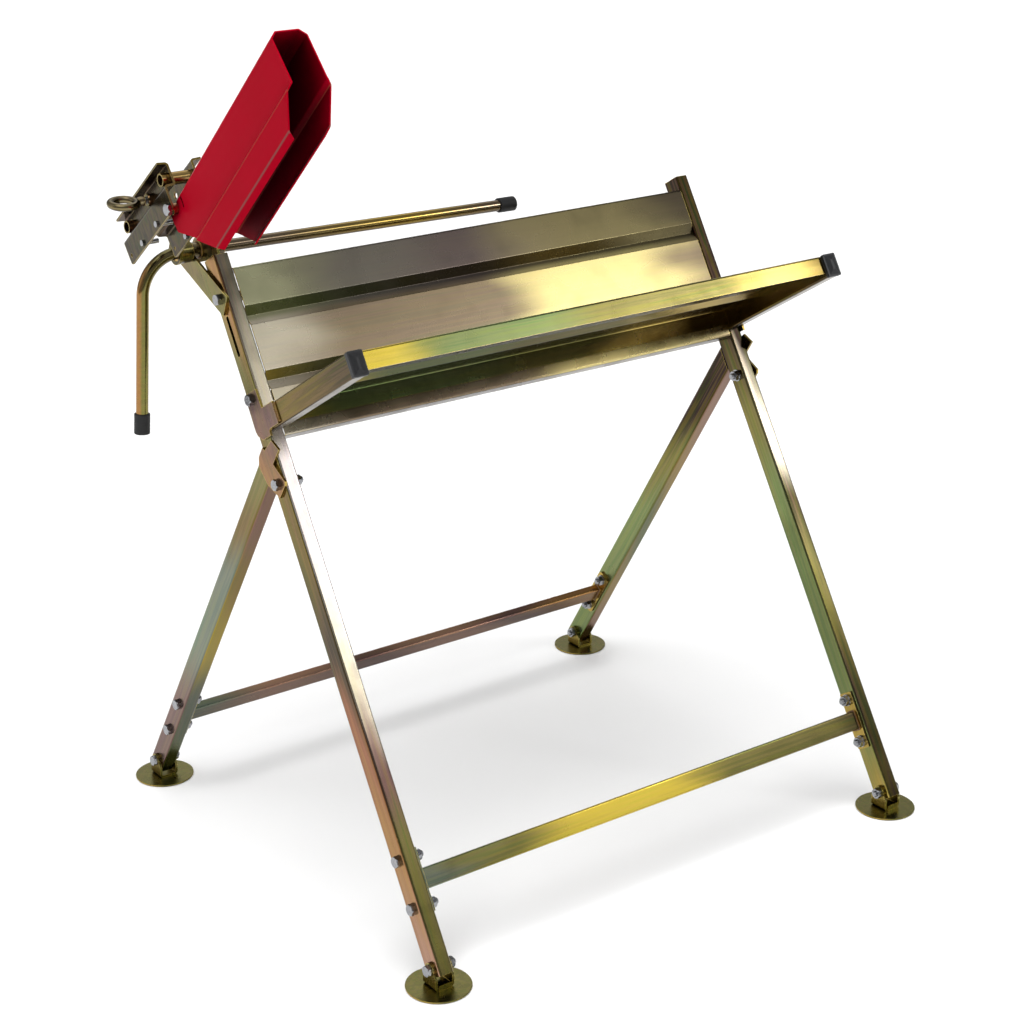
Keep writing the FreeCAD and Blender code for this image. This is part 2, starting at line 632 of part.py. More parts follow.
# ---------------------------------------------------------------- guard
def guard_shell():
    """Folded channel that is open to the front, cut to its side outline.

    Its outline is in (t, w): t along the guard and w forwards from its back wall."""
    half = GUARD_SHEET / 2
    right = [(14.5, half), (21.8, 8.5), (21.8, 64.5), (26.9, 69.7), (25.5, 100.5), (19.6, 106.8)]
    section = [(-x, w) for x, w in reversed(right)] + right
    channel = sheet_along_s(section, GUARD_SHEET, 100, 450, 1.4)
    outline = [(438, -1), (437, 64.5), (430, 69.7), (398.5, 100.5), (390, 108), (176, 108), (169.4, 100),
               (137.3, 67.5), (101, 35), (101, 17), (120, -1)]
    side = prism_x(outline, -40, 40)
    shell = channel.common(side)
    t, w = GUARD_BOLT_T, GUARD_BOLT_W
    shell = shell.cut(rod_x(-40, 40, w, t, PIVOT_HOLE_R))
    ring = tube_x(-40, 0, w, t, SLOT_R + 1.3, SLOT_R - 1.3)
    wedge = prism_x([(t, w), (t + 30, w - 17), (t + 30, w + 17)], -40, 0)
    shell = shell.cut(ring.common(wedge))
    return one(on_guard(one(shell)))


def on_guard(shape):
    """Place a shape built in (x, w, t)."""
    shape = moved(shape, x=GUARD_X, n=GUARD_BACK)
    return GUARD.place(shape.mirror(Vector(0, 0, 0), Vector(0, 1, 0)))


def wide_washers():
    """Wide washers behind the guard's walls, cut flat next to its back wall."""
    washers = []
    for x0 in (-WIDE_WASHER_X - 1.5, WIDE_WASHER_X):
        washer = tube_x(x0, x0 + 1.5, GUARD_BOLT_W, GUARD_BOLT_T, WIDE_WASHER_R, HOLE_R)
        washers.append(on_guard(one(washer.cut(box(-40, 40, -30, 9.4, 60, 200)))))
    return washers


# ---------------------------------------------------------------- the whole object
def both_sides(shape):
    return [shape, mirrored(shape)]


def build():
    nodes = {}

    front_left = FRONT.place(left_front_leg(True))
    nodes["front_leg_left"] = front_left
    nodes["front_leg_right"] = mirrored(FRONT.place(left_front_leg(False)))
    nodes["rear_tray_panel"] = FRONT.place(tray_panel())
    nodes["front_tray_panel"] = FRONT.place(front_tray_panel())
    rear = REAR.place(left_rear_leg())
    arm = FRONT.place(left_arm())
    pairs = {
        "rear_leg": rear,
        "front_arm": arm,
        "arm_plug": FRONT.place(arm_plug()),
        "arm_lug": FRONT.place(left_arm_lug()),
        "rear_lug": REAR.place(left_rear_lug()),
        "front_crossbar_plate": FRONT.place(left_end_plate(CROSSBAR_S, False)),
        "rear_crossbar_plate": REAR.place(left_end_plate(CROSSBAR_S, True)),
    }
    for name, shape in pairs.items():
        nodes[name + "_left"] = shape
        nodes[name + "_right"] = mirrored(shape)

    for name, frame in (("front", FRONT), ("rear", REAR)):
        nodes[name + "_crossbar"] = frame.place(crossbar(CROSSBAR_S))
        bolts, nuts = crossbar_fasteners(CROSSBAR_S)
        nodes[name + "_crossbar_bolts"] = group(both_sides(frame.place(group(bolts))))
        nodes[name + "_crossbar_nuts"] = group(both_sides(frame.place(group(nuts))))

    bolts, nuts = [], []
    for s in (REAR_FOLD_S, ARM_FOLD_S):
        bolts += both_sides(FRONT.place(left_bolt(0, s, -FACE_OUT - PLATE, -FACE_IN + 12)))
        nuts += both_sides(FRONT.place(group(left_nut(0, s, -FACE_IN))))
    bolts.append(FRONT.place(left_bolt(0, BRACE_BOLT_S, -FACE_OUT - 0.3 - BRACE_T, -FACE_IN + 12, 10)))
    nuts.append(FRONT.place(group(left_nut(0, BRACE_BOLT_S, -FACE_IN))))
    nodes["pivot_bolts"] = group(bolts)
    nodes["pivot_nuts"] = group(nuts)

    for end, sign, frame in (("front", -1, FRONT), ("rear", 1, REAR)):
        for side, x in (("left", -LEG_X), ("right", LEG_X)):
            here = Vector(x, frame.y, frame.z)
            for name, shape in (("bracket", foot_bracket(sign)), ("disc", foot_disc())):
                shape.translate(here)
                nodes["foot_%s_%s_%s" % (name, end, side)] = shape
        fasteners = {"bolts": foot_bolt(), "nuts": foot_nut()}
        for name, shape in fasteners.items():
            shape.translate(Vector(-LEG_X, frame.y, frame.z))
            nodes["foot_%s_%s" % (name, end)] = group(both_sides(shape))

    nodes["brace_bar"] = brace()
    nodes["guide_plate"] = guide_plate()
    nodes["stop_sleeve"] = sleeve()
    nodes["stop_rod"], nodes["stop_leg_cap"] = stop_rod()
    nodes["stop_end_cap"] = stop_end_cap()

    nodes["clamp_plate_outer"] = HOLDER.place(jaw(OUTER_JAW_X, JAW_STEP))
    nodes["clamp_plate_inner"] = HOLDER.place(jaw(INNER_JAW_X, -JAW_STEP))
    lower = tube_x(-477, LINK_X[1], 0, 0, CLAMP_TUBE_R, CLAMP_TUBE_R - 1.5)
    upper = tube_x(-477, -412, 0, CLAMP_TUBE_A, CLAMP_TUBE_R, CLAMP_TUBE_R - 1.5)
    nodes["clamp_tube_lower"] = HOLDER.place(lower)
    nodes["clamp_tube_upper"] = HOLDER.place(upper)
    nodes["pivot_link"], nodes["pivot_collar"] = pivot_link()
    nodes["clamp_screws"] = HOLDER.place(group(clamp_screws()))
    bolt, nut, spacers = guard_hardware()
    nodes["guard_bolt"] = HOLDER.place(bolt)
    nodes["guard_nut"] = HOLDER.place(group(nut))
    nodes["guard_spacers"] = HOLDER.place(group(spacers))
    nodes["guard_washers"] = group(wide_washers())
    nodes["eye_nut"] = HOLDER.place(eye_nut())
    nodes["eye_bolt"] = HOLDER.place(eye_bolt())
    nodes["clamp_pad"] = HOLDER.place(pad())
    nodes["saw_guard"] = guard_shell()

    whole = Part.makeCompound(list(nodes.values())).optimalBoundingBox(False, False)
    shift = Vector(-(whole.XMin + whole.XMax) / 2, -(whole.YMin + whole.YMax) / 2, -whole.ZMin)
    for shape in nodes.values():
        shape.translate(shift)
    return nodes, shift, whole


NODES, SHIFT, BOX = build()
os.makedirs("parts", exist_ok=True)
for node, solid in NODES.items():
    solid.exportStep("parts/%s.step" % node)
print("nodes", len(NODES), "shift", SHIFT, "size", BOX.XLength, BOX.YLength, BOX.ZLength)
for node, solid in NODES.items():
    if not solid.isValid() or solid.Volume <= 0:
        print("check", node, solid.isValid(), solid.Volume, len(solid.Solids))
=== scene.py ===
import json
import math

import bpy
from mathutils import Euler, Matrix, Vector


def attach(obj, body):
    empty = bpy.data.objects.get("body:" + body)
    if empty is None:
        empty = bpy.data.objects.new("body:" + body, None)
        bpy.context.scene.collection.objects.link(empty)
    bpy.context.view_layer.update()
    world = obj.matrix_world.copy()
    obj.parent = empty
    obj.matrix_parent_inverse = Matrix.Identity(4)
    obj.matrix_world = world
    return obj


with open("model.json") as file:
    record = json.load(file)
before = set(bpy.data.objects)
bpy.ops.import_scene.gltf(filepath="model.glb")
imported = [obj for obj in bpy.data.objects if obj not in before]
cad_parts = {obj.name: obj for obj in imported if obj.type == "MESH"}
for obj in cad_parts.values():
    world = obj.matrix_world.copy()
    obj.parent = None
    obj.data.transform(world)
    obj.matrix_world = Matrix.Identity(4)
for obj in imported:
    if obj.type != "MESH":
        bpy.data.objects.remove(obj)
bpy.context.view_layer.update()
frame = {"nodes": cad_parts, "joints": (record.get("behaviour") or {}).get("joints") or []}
JOINTS = {joint["name"]: joint for joint in frame["joints"]}

# ---------------------------------------------------------------- places and angles, in metres and radians
MM = 0.001
FRONT_TILT = math.radians(31.33)     # front legs from the vertical
REAR_TILT = math.radians(31.83)
HOLDER_RISE = math.radians(39.0)     # clamp plates above the horizontal
GUARD_RISE = math.radians(44.0)
STOP_DROOP = math.radians(1.0)       # the stop's sleeve below the horizontal
LEFT = JOINTS["foot_tilt_front_left"]["pos_m"][0]
RIGHT = JOINTS["foot_tilt_front_right"]["pos_m"][0]
MIDDLE = (LEFT + RIGHT) / 2
HALF = (RIGHT - LEFT) / 2
STOP = Vector(JOINTS["stop_swing"]["pos_m"])
EYE = Vector(JOINTS["eye_bolt_turn"]["pos_m"])
PANEL_FOLD_Z = 0.716                 # the fold between the rear tray panel's middle and its upper band

# ---------------------------------------------------------------- sizes, in mm
# s runs along a leg or the clamp plates and n across them, as in Slant.
GUARD_BACK = 38.0                    # the guard's back wall below the lower clamp tube
EYE_FROM_TUBE = 68                   # the eye bolt from the lower clamp tube, along the clamp plates
CROSSBAR_S = 101.5
CROSSBAR_RING = ((-12.6, -6), (12.6, -6), (12.6, 6), (-12.6, 6))    # (s, n) corners of the weld round its end
ARM_LUG_WELD = ((667, -48.8), (680, -48.8), (692, -48.8))           # (s, n) along the front legs
REAR_LUG_WELD = ((606.6, -13), (611.4, 9))                          # (s, n) along the rear legs
PIVOT_BOLTS = (("rear_fold", 600.7), ("arm_fold", 709.5))           # s along the front legs
CROSSBAR_BOLTS = (("lower", 72.5), ("upper", 130.5))                # s along either pair of legs
CROSSBAR_END = 13.4                  # inwards from the legs' centre planes
NUT_FACE = 18.2
BOLT_TIP = 21.2
CROSSBAR_NUT_FACE = 3                # how much further in than a pivot bolt's
CROSSBAR_BOLT_TIP = 2.7
LUG_WELD_X = 10.5                    # outwards from the legs' centre planes
SLEEVE_WELDS = (("brace", 14.0), ("guide", 2.2))
SLEEVE_WELD_RADIUS = 10.6
# Name, distance outwards from the left legs' centre plane, s along the clamp plates, and radius.
HOLDER_WELDS = (
    ("link_tube", 35.6, 0, 8.2),
    ("tube_outer", 96.2, 0, 8.1),
    ("tube_inner", 64.2, 0, 8.1),
    ("upper_outer", 96.2, 117, 8.1),
    ("upper_inner", 64.2, 117, 8.1),
)


class Slant:
    """A frame in the YZ plane: s runs along a leg and n across it, both in mm, n towards the rear on the
    front legs. x is in metres."""

    def __init__(self, y, z, along_y, along_z):
        self.y, self.z = y, z
        self.s = (along_y, along_z)
        self.n = (along_z, -along_y)

    def at(self, x, s, n):
        y = self.y + s * MM * self.s[0] + n * MM * self.n[0]
        z = self.z + s * MM * self.s[1] + n * MM * self.n[1]
        return Vector((x, y, z))


front_foot = JOINTS["foot_tilt_front_left"]["pos_m"]
rear_foot = JOINTS["foot_tilt_rear_left"]["pos_m"]
FRONT = Slant(front_foot[1], front_foot[2], math.sin(FRONT_TILT), math.cos(FRONT_TILT))
REAR = Slant(rear_foot[1], rear_foot[2], -math.sin(REAR_TILT), math.cos(REAR_TILT))
HOLDER = Slant(EYE.y + EYE_FROM_TUBE * MM * math.cos(HOLDER_RISE),
               EYE.z - EYE_FROM_TUBE * MM * math.sin(HOLDER_RISE),
               -math.cos(HOLDER_RISE), math.sin(HOLDER_RISE))


# ---------------------------------------------------------------- shader nodes
def linear(colour):
    out = []
    for channel in colour:
        c = channel / 255
        out.append(c / 12.92 if c <= 0.04045 else ((c + 0.055) / 1.055) ** 2.4)
    return (*out, 1.0)


def even(colours):
    """Stops spread evenly along a ramp."""
    return [(i / (len(colours) - 1), colour) for i, colour in enumerate(colours)]


class Shader:
    """A material's node tree, with short calls for the nodes used here."""

    def __init__(self, name):
        self.material = bpy.data.materials.new(name)
        self.material.use_nodes = True
        self.tree = self.material.node_tree
        self.bsdf = self.tree.nodes["Principled BSDF"]

    def node(self, kind, inputs=None, **settings):
        node = self.tree.nodes.new("ShaderNode" + kind)
        for key, value in settings.items():
            setattr(node, key, value)
        for key, value in (inputs or {}).items():
            self.feed(node.inputs[key], value)
        return node

    def feed(self, socket, value):
        if isinstance(value, bpy.types.NodeSocket):
            self.tree.links.new(value, socket)
        else:
            socket.default_value = value

    def set(self, **values):
        for key, value in values.items():
            self.feed(self.bsdf.inputs[key.replace("_", " ")], value)

    def math(self, operation, a, b):
        return self.node("Math", {0: a, 1: b}, operation=operation).outputs[0]

    def mix(self, factor, a, b):
        return self.node("Mix", {0: factor, 6: a, 7: b}, data_type="RGBA").outputs[2]

    def ramp(self, factor, stops):
        node = self.node("ValToRGB", {"Fac": factor})
        node.color_ramp.interpolation = "EASE"
        elements = node.color_ramp.elements
        while len(elements) < len(stops):
            elements.new(0.5)
        for element, (place, colour) in zip(elements, stops):
            element.position = place
            element.color = linear(colour)
        return node.outputs["Color"]

    def spread(self, value, low, high, to_low=0.0, to_high=1.0):
        node = self.node("MapRange", {"Value": value, "From Min": low, "From Max": high,
                                      "To Min": to_low, "To Max": to_high})
        return node.outputs["Result"]

    def noise(self, vector, scale, detail=3.0, distortion=0.0):
        node = self.node("TexNoise", {"Vector": vector, "Scale": scale, "Detail": detail,
                                      "Distortion": distortion})
        return node.outputs["Fac"]

    def stretched(self, turn, scale, shift=0.0):
        """Object coordinates turned about X, then scaled."""
        coords = self.node("TexCoord").outputs["Object"]
        turned = self.node("Mapping", {"Vector": coords, "Rotation": (turn, 0, 0),
                                       "Location": (shift, shift, shift)})
        return self.node("Mapping", {"Vector": turned.outputs["Vector"], "Scale": scale}).outputs["Vector"]

    def edges(self, radius, low, high):
        """1 along sharp edges and folds, 0 on flat faces."""
        bevel = self.node("Bevel", {"Radius": radius}, samples=8)
        flat = self.node("NewGeometry").outputs["Normal"]
        dot = self.node("VectorMath", {0: bevel.outputs["Normal"], 1: flat}, operation="DOT_PRODUCT")
        return self.spread(self.math("SUBTRACT", 1.0, dot.outputs["Value"]), low, high)

    def bump(self, height, strength, distance):
        node = self.node("Bump", {"Height": height, "Strength": strength, "Distance": distance})
        self.set(Normal=node.outputs["Normal"])


# ---------------------------------------------------------------- materials
OLIVE = (116, 114, 62)
GREEN = (112, 132, 82)
TEAL = (104, 120, 104)
GOLD = (178, 152, 74)
# Painted highlight gold: on the zinc's sharp edges and folds, and as the brightest ramp stops.
HIGHLIGHT_GOLD = (226, 200, 112)
YELLOW = (214, 190, 70)
PINK = (172, 132, 112)
PLUM = (104, 80, 76)
BROWN = (160, 118, 70)
PALE = (202, 194, 172)
GREY = (116, 108, 98)
DARK = (52, 50, 32)
OCHRE = (112, 94, 44)
RUST = (146, 96, 66)
SAND = (128, 114, 94)
CREAM = (222, 206, 140)
# Painted highlight: near-white on the left front leg's front.
WHITE_HIGHLIGHT = (232, 222, 220)
SHADOW = (20, 19, 12)
SLATE = (44, 44, 32)
# Painted shade for faces turned downwards.
SHADED_UNDERSIDE = (58, 48, 44)
# Painted shade: darker colours for the rear tray panel above its fold.
SHADED_UPPER_BAND = [(150, 152, 114), (96, 94, 88), (76, 68, 70), (56, 50, 42), (48, 44, 34)]
FILM = [OLIVE, GREEN, GOLD, PINK, PLUM, OLIVE, GOLD]


def streak_scale(axis, along):
    """Noise scale of fine streaks: small along the piece and large across it."""
    if axis == "X":
        return (3, 170, 170)
    length = min(range(3), key=lambda i: (along[i], -i))
    return [(1.2 if i == length else 7) * along[i] for i in range(3)]


def zinc(name, side, face, axis, span, turn=0.0, along=(24, 24, 3), shift=0.0, rough=0.2, own=0.3,
         upper=None):
    """Yellow zinc passivation. Its film drifts in colour along a piece, differently on its X faces (side)
    and its other faces (face), partly the film's own colour and partly painted light and shade for how
    each face meets the light, with streaks along the piece, painted shade on undersides and painted
    highlights along edges and folds. Above the height upper it takes a darker ramp of painted shade."""
    shader = Shader(name)
    coords = shader.node("TexCoord")
    spot = shader.node("SeparateXYZ", {0: coords.outputs["Object"]}).outputs
    normal = shader.node("SeparateXYZ", {0: coords.outputs["Normal"]}).outputs
    broad = shader.noise(shader.stretched(turn, along, shift), 1.0, 2.0, 0.4)
    drift = shader.math("MULTIPLY", shader.math("SUBTRACT", broad, 0.5), 0.34)
    place = shader.math("ADD", shader.spread(spot[axis], *span), drift)
    # Separate ramps for the X faces (side) and the other faces (face): partly the film's own colour, partly
    # painted light and shade for how each face meets the light.
    sideways = shader.spread(shader.math("ABSOLUTE", normal["X"], 0.0), 0.5, 0.8)
    colour = shader.mix(sideways, shader.ramp(place, even(face)), shader.ramp(place, even(side)))
    streak = shader.noise(shader.stretched(turn, streak_scale(axis, along), shift), 1.0, 3.0)
    film = shader.ramp(shader.spread(streak, 0.3, 0.7), even(FILM))
    colour = shader.mix(own, colour, film)
    # Painted shade: above the height upper the colours turn darker.
    if upper is not None:
        upper_band_shade = shader.ramp(place, even(SHADED_UPPER_BAND))
        colour = shader.mix(shader.spread(spot["Z"], upper, upper + 4 * MM, 0.0, 0.8), colour, upper_band_shade)
    # Painted shade: faces turned downwards darken.
    underside_shade = shader.spread(normal["Z"], -0.75, -0.2, 0.9, 0.0)
    colour = shader.mix(underside_shade, colour, linear(SHADED_UNDERSIDE))
    # Painted highlight: bright gold along sharp edges and folds.
    colour = shader.mix(shader.edges(1.3 * MM, 0.03, 0.25), colour, linear(HIGHLIGHT_GOLD))
    smudge = shader.noise(shader.stretched(0, (1, 1, 1)), 26.0, 4.0)
    scratch = shader.noise(shader.stretched(turn, (420, 420, 12), shift), 1.0, 2.0)
    shader.set(Base_Color=colour, Metallic=1.0,
               Roughness=shader.spread(smudge, 0.3, 0.7, rough - 0.04, rough + 0.08))
    shader.bump(scratch, 0.02, 0.05 * MM)
    return shader.material


def plain_metal(name, low, high, rough):
    shader = Shader(name)
    grain = shader.noise(shader.stretched(0, (1, 1, 1)), 420.0, 4.0)
    colour = shader.mix(grain, linear(low), linear(high))
    # Painted highlight: near-white along sharp edges.
    lighter_edges = shader.edges(0.6 * MM, 0.02, 0.3)
    shader.set(Base_Color=shader.mix(lighter_edges, colour, linear((235, 238, 242))), Metallic=1.0,
               Roughness=shader.spread(grain, 0.3, 0.7, rough - 0.06, rough + 0.08))
    shader.bump(grain, 0.12, 0.1 * MM)
    return shader.material


# Distance below the guard's back wall in mm, half width in mm, strength and colour.
GUARD_FOLD_LINES = ((69.7, 0.8, 0.55, (158, 88, 60)), (100.5, 1.5, 0.75, (120, 84, 80)))


def red_paint():
    """Red powder coat, wearing to a thin line along the guard's two side folds, with painted shade darkening
    the guard's inside.
    """
    shader = Shader("red_powder_coat")
    coords = shader.node("TexCoord").outputs["Object"]
    cloud = shader.noise(shader.stretched(0, (1, 1, 1)), 9.0, 3.0)
    peel = shader.noise(shader.stretched(0, (1, 1, 1)), 900.0, 2.0)
    colour = shader.mix(cloud, linear((160, 0, 24)), linear((174, 0, 32)))
    across = (0, math.sin(GUARD_RISE), math.cos(GUARD_RISE))
    from_tube = shader.node("VectorMath", {0: coords, 1: HOLDER.at(0, 0, 0)}, operation="SUBTRACT")
    depth = shader.node("VectorMath", {0: from_tube.outputs["Vector"], 1: across}, operation="DOT_PRODUCT")
    for fold, half, strength, tone in GUARD_FOLD_LINES:
        above = shader.math("ADD", depth.outputs["Value"], (GUARD_BACK + fold) * MM)
        line = shader.spread(shader.math("ABSOLUTE", above, 0.0), 0.4 * half * MM, half * MM, strength, 0.0)
        colour = shader.mix(line, colour, linear(tone))
    lighter_edges = shader.math("MULTIPLY", shader.edges(1.0 * MM, 0.05, 0.3), 0.35)
    colour = shader.mix(lighter_edges, colour, linear((190, 50, 50)))
    # Painted shade: darker deep inside the guard, by ambient occlusion.
    hollow_shade = shader.node("AmbientOcclusion", {"Distance": 110 * MM}, samples=6).outputs["AO"]
    colour = shader.mix(shader.spread(hollow_shade, 0.35, 0.92, 0.94, 0.0), colour, linear((26, 0, 4)))
    shader.set(Base_Color=colour, Roughness=shader.spread(peel, 0.3, 0.7, 0.3, 0.4), Specular_IOR_Level=0.02,
               Specular_Tint=(1.0, 0.05, 0.12, 1.0))
    shader.bump(peel, 0.1, 0.06 * MM)
    return shader.material


def black(name, low, high, rough, scale):
    shader = Shader(name)
    grain = shader.noise(shader.stretched(0, (1, 1, 1)), scale, 5.0)
    colour = shader.mix(grain, linear(low), linear(high))
    # Lighter grey along edges.
    lighter_edges = shader.edges(1.0 * MM, 0.02, 0.3)
    shader.set(Base_Color=shader.mix(lighter_edges, colour, linear((74, 76, 82))),
               Roughness=shader.spread(grain, 0.3, 0.7, rough - 0.07, rough + 0.07))
    shader.bump(grain, 0.25, 0.15 * MM)
    return shader.material


ACROSS = (LEFT, RIGHT)
FRONT_LEG_Z = (0.03, 0.78)
REAR_LEG_Z = (0.03, 0.56)
# In these ramps the SHADOW stops are painted shade on the right legs, the near-white run on the left front
# leg's front is a painted highlight, and the bright gold stops are painted highlights, on the front panel a
# painted reflection.
LOOKS = {
    "front_leg_left": zinc(
        "zinc_front_leg_left", [PINK, BROWN, RUST, DARK, OCHRE, OCHRE, OLIVE, BROWN],
        [OLIVE, OLIVE, PLUM, PALE, WHITE_HIGHLIGHT, WHITE_HIGHLIGHT, PALE, GREY], "Z", FRONT_LEG_Z, FRONT_TILT, own=0.16),
    "front_leg_right": zinc(
        "zinc_front_leg_right", [GOLD, GREEN, GREEN, GREEN, OLIVE, SHADOW, SHADOW, SHADOW],
        [DARK, DARK, OLIVE, DARK, PALE, SHADOW, SHADOW, SHADOW], "Z", FRONT_LEG_Z, FRONT_TILT,
        shift=3.0, own=0.16),
    "rear_leg_left": zinc(
        "zinc_rear_leg_left", [PLUM, PLUM, TEAL, TEAL, OCHRE, OLIVE], [GREEN, TEAL, YELLOW, GOLD, PINK, PINK],
        "Z", REAR_LEG_Z, -REAR_TILT, shift=7.0, own=0.16),
    "rear_leg_right": zinc(
        "zinc_rear_leg_right", [GREEN, GREEN, GREEN, OLIVE, SHADOW, SHADOW],
        [PINK, GOLD, GREEN, GOLD, PINK, DARK], "Z", REAR_LEG_Z, -REAR_TILT, shift=9.0, own=0.16),
    # Above PANEL_FOLD_Z this panel takes painted shade.
    "rear_tray_panel": zinc(
        "zinc_rear_panel", [GREY, GOLD], [PALE, SAND, SAND, SAND, CREAM, CREAM, SAND], "X", ACROSS,
        FRONT_TILT, along=(3, 10, 10), shift=1.0, rough=0.25, own=0.08, upper=PANEL_FOLD_Z),
    "front_tray_panel": zinc(
        "zinc_front_panel", [PLUM, GOLD], [YELLOW, GREEN, GREEN, OLIVE, OLIVE, HIGHLIGHT_GOLD, OCHRE], "X", ACROSS,
        FRONT_TILT, along=(4, 14, 14), shift=5.0, rough=0.22, own=0.14),
    "front_arm": zinc(
        "zinc_arm", [DARK, OCHRE, DARK], [OLIVE, GOLD, HIGHLIGHT_GOLD], "Z", (0.5, 0.75), FRONT_TILT,
        along=(22, 5, 22), shift=2.0, own=0.14),
    "front_crossbar": zinc(
        "zinc_front_crossbar", [OLIVE, GOLD], [TEAL, OLIVE, YELLOW, YELLOW, OLIVE, OLIVE, DARK], "X", ACROSS,
        along=(4, 26, 26), shift=4.0, own=0.16),
    "rear_crossbar": zinc(
        "zinc_rear_crossbar", [PLUM, GOLD], [TEAL, PINK, PLUM, PINK, PLUM, BROWN], "X", ACROSS,
        along=(4, 26, 26), shift=9.0, own=0.14),
    "foot": zinc(
        "zinc_foot", [GOLD, OLIVE], [OLIVE, OLIVE], "Z", (0.0, 0.04), along=(18, 18, 18), shift=6.0,
        rough=0.26, own=0.12),
    "lug": zinc(
        "zinc_lug", [BROWN, PLUM, OLIVE, PLUM], [GOLD, OLIVE], "Z", (0.5, 0.85), FRONT_TILT,
        along=(25, 25, 14), shift=8.0, rough=0.22, own=0.14),
    "stop": zinc(
        "zinc_stop", [BROWN, GOLD], [OLIVE, SAND, GOLD, SAND], "X", (-0.4, 0.17), along=(4, 34, 6),
        shift=2.5, rough=0.15, own=0.1),
    "eye": zinc(
        "zinc_eye", [OLIVE, SAND], [OLIVE, SAND], "Z", (0.85, 0.9), along=(40, 40, 40), shift=2.0, own=0.1),
    "holder": zinc(
        "zinc_holder", [SLATE, SLATE, DARK, DARK], [OLIVE, PINK, GOLD], "Z", (0.78, 0.95), HOLDER_RISE,
        along=(24, 24, 24), shift=1.5, own=0.12),
    "weld": zinc("zinc_weld", [PLUM, BROWN], [BROWN, GOLD], "Z", (0, 1), along=(90, 90, 90), rough=0.34),
    "bright": plain_metal("bright_zinc", (104, 106, 110), (186, 187, 190), 0.2),
    "red": red_paint(),
    "plastic": black("black_plastic", (16, 16, 18), (30, 31, 34), 0.42, 700.0),
    "rubber": black("black_rubber", (14, 14, 14), (26, 26, 27), 0.62, 380.0),
}
WHOLE_NAMES = {"eye_bolt": "eye", "saw_guard": "red", "stop_end_cap": "rubber", "stop_leg_cap": "rubber",
               "guard_bolt": "bright", "guard_nut": "bright", "clamp_screws": "bright"}
NAME_STARTS = (("front_arm", "front_arm"), ("foot_", "foot"), ("arm_lug", "lug"), ("rear_lug", "lug"),
               ("brace", "lug"), ("guide", "lug"), ("stop_", "stop"), ("front_crossbar", "front_crossbar"),
               ("rear_crossbar", "rear_crossbar"))


def look_for(node):
    if node in WHOLE_NAMES:
        return WHOLE_NAMES[node]
    if node.startswith("arm_plug"):
        return "plastic"
    if "bolts" in node or "nuts" in node:
        return "bright"
    if node in LOOKS:
        return node
    for start, look in NAME_STARTS:
        if node.startswith(start):
            return look
    return "holder"


def dress(piece, material):
    if not piece.material_slots:
        piece.data.materials.append(material)
    for material_slot in piece.material_slots:
        material_slot.material = material


for node_name, cad_piece in frame["nodes"].items():
    dress(cad_piece, LOOKS[look_for(node_name)])


# ---------------------------------------------------------------- welds and threads
def mesh_piece(name, vertices, faces, look, body, slot_name):
    mesh = bpy.data.meshes.new(name)
    mesh.from_pydata(vertices, [], faces)
    mesh.polygons.foreach_set("use_smooth", [True] * len(mesh.polygons))
    piece = bpy.data.objects.new(name, mesh)
    bpy.context.scene.collection.objects.link(piece)
    dress(piece, LOOKS[look])
    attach(piece, body)


def swept(points, radii, closed, sides=10):
    """A tube's vertices and faces: a ring around each point of a line, each ring with its own radius."""
    count = len(points)
    vertices, faces = [], []
    for i, point in enumerate(points):
        before = points[i - 1] if closed or i else points[i]
        after = points[(i + 1) % count] if closed or i < count - 1 else points[i]
        along = (after - before).normalized()
        helper = Vector((1, 0, 0)) if abs(along.x) < 0.9 else Vector((0, 0, 1))
        across = along.cross(helper).normalized()
        up = along.cross(across)
        for k in range(sides):
            angle = 2 * math.pi * k / sides
            vertices.append(point + radii[i] * (math.cos(angle) * across + math.sin(angle) * up))
    for i in range(count if closed else count - 1):
        j = (i + 1) % count
        for k in range(sides):
            m = (k + 1) % sides
            faces.append((i * sides + k, i * sides + m, j * sides + m, j * sides + k))
    if not closed:
        faces.append(tuple(reversed(range(sides))))
        faces.append(tuple(range((count - 1) * sides, count * sides)))
    return vertices, faces


def weld(name, corners, size, body, closed=False):
    """A rippled bead along a line of corners."""
    if closed:
        corners = corners + corners[:1]
    points = []
    for start, end in zip(corners, corners[1:]):
        steps = max(2, round((end - start).length / (0.45 * MM)))
        points += [start.lerp(end, i / steps) for i in range(steps)]
    if not closed:
        points.append(corners[-1])
    radii = []
    for i in range(len(points)):
        ends = 1.0 if closed else min(1.0, 0.35 + 0.22 * min(i, len(points) - 1 - i))
        radii.append(size * MM * ends * (0.86 + 0.14 * abs(math.sin(i * 0.62))))
    mesh_piece(name, *swept(points, radii, closed), "weld", body, "yellow_zinc")


def circle(x, y, z, radius, parts=48):
    return [Vector((x, y + radius * MM * math.cos(2 * math.pi * i / parts),
                    z + radius * MM * math.sin(2 * math.pi * i / parts))) for i in range(parts)]


def thread(name, x0, x1, centre, body, radius=3.95, pitch=1.25, ridge=0.36):
    """A helical ridge around a bolt's end, along X."""
    turns = abs(x1 - x0) / (pitch * MM)
    count = max(8, round(turns * 28))
    points = []
    for i in range(count + 1):
        angle = 2 * math.pi * turns * i / count
        points.append(Vector((x0 + (x1 - x0) * i / count, centre.y + radius * MM * math.cos(angle),
                              centre.z + radius * MM * math.sin(angle))))
    radii = [ridge * MM] * len(points)
    mesh_piece(name, *swept(points, radii, False, 6), "bright", body, "bright_zinc")


